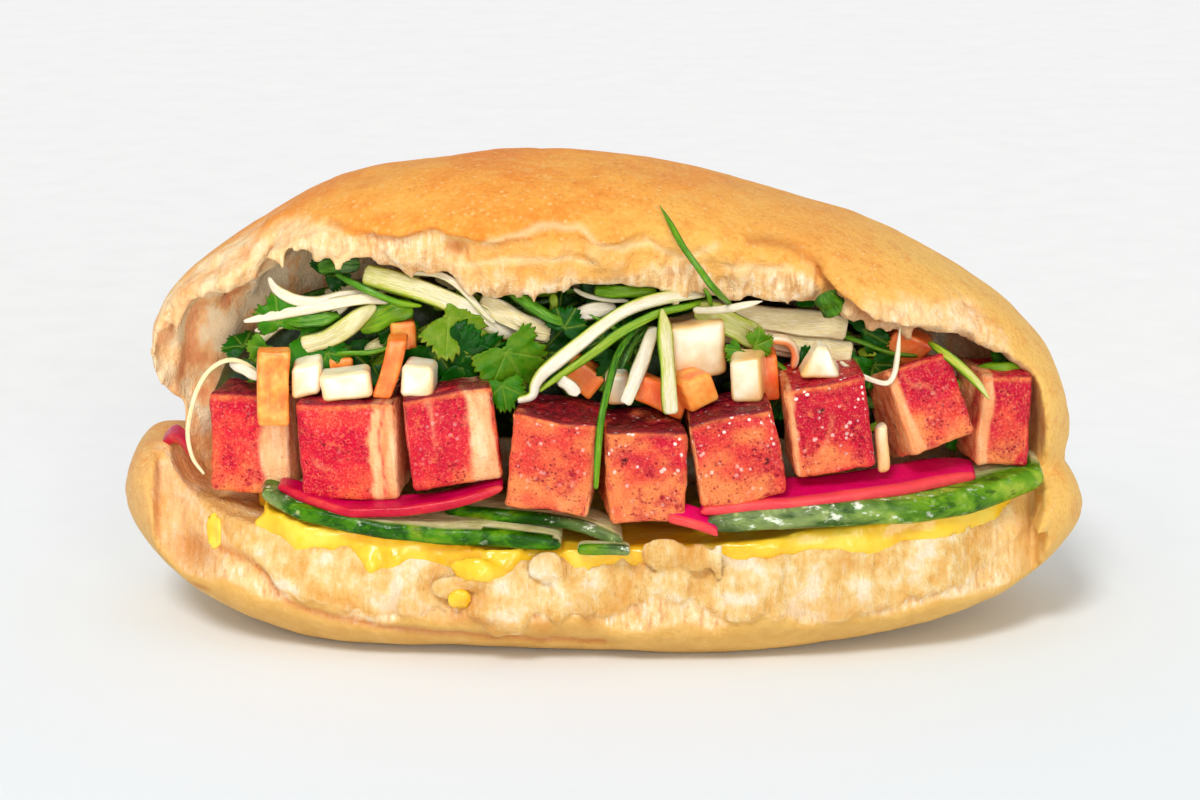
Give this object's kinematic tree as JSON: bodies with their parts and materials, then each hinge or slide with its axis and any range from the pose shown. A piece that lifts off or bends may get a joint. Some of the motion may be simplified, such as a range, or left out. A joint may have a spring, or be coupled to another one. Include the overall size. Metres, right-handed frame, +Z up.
{
  "type": "banh mi sandwich",
  "caption": "Crusty split bread roll opened along one side and filled with glazed pork cubes, cucumber, pickled vegetables and herbs.",
  "frame": {"origin": "centre of the footprint, on the surface the sandwich rests on", "axes": "+X along the length of the roll, +Z up, the open side with the fillings faces -Y"},
  "size_m": [0.2022, 0.0836, 0.0971],
  "materials": {
    "bread_roll": "baked golden crust, pale torn crumb",
    "pork": "glazed seared pork belly, red lean with cream fat",
    "carrot": "fresh cut carrot",
    "daikon": "pickled daikon, slightly translucent",
    "cucumber": "wet dark green skin and pale flesh",
    "pickle": "pink pickled radish slice, wet",
    "mayonnaise": "yellow mayonnaise, smooth",
    "herb_salad": "scallion strips and coriander leaves"
  },
  "bodies": {
    "root": {"bread_roll": "bread_roll", "carrot_1": "carrot", "carrot_2": "carrot", "carrot_3": "carrot", "carrot_4": "carrot", "carrot_5": "carrot", "carrot_6": "carrot", "carrot_7": "carrot", "carrot_8": "carrot", "carrot_9": "carrot", "carrot_curl": "carrot", "cucumber_1": "cucumber", "cucumber_2": "cucumber", "cucumber_3": "cucumber", "cucumber_4": "cucumber", "daikon_1": "daikon", "daikon_2": "daikon", "daikon_3": "daikon", "daikon_4": "daikon", "daikon_5": "daikon", "daikon_6": "daikon", "daikon_7": "daikon", "daikon_8": "daikon", "herb_salad": "herb_salad", "mayonnaise": "mayonnaise", "pickle_1": "pickle", "pickle_2": "pickle", "pickle_3": "pickle", "pickle_4": "pickle", "pork_cube_1": "pork", "pork_cube_2": "pork", "pork_cube_3": "pork", "pork_cube_4": "pork", "pork_cube_5": "pork", "pork_cube_6": "pork", "pork_cube_7": "pork", "pork_cube_8": "pork", "pork_cube_9": "pork"}
  },
  "joints": []
}
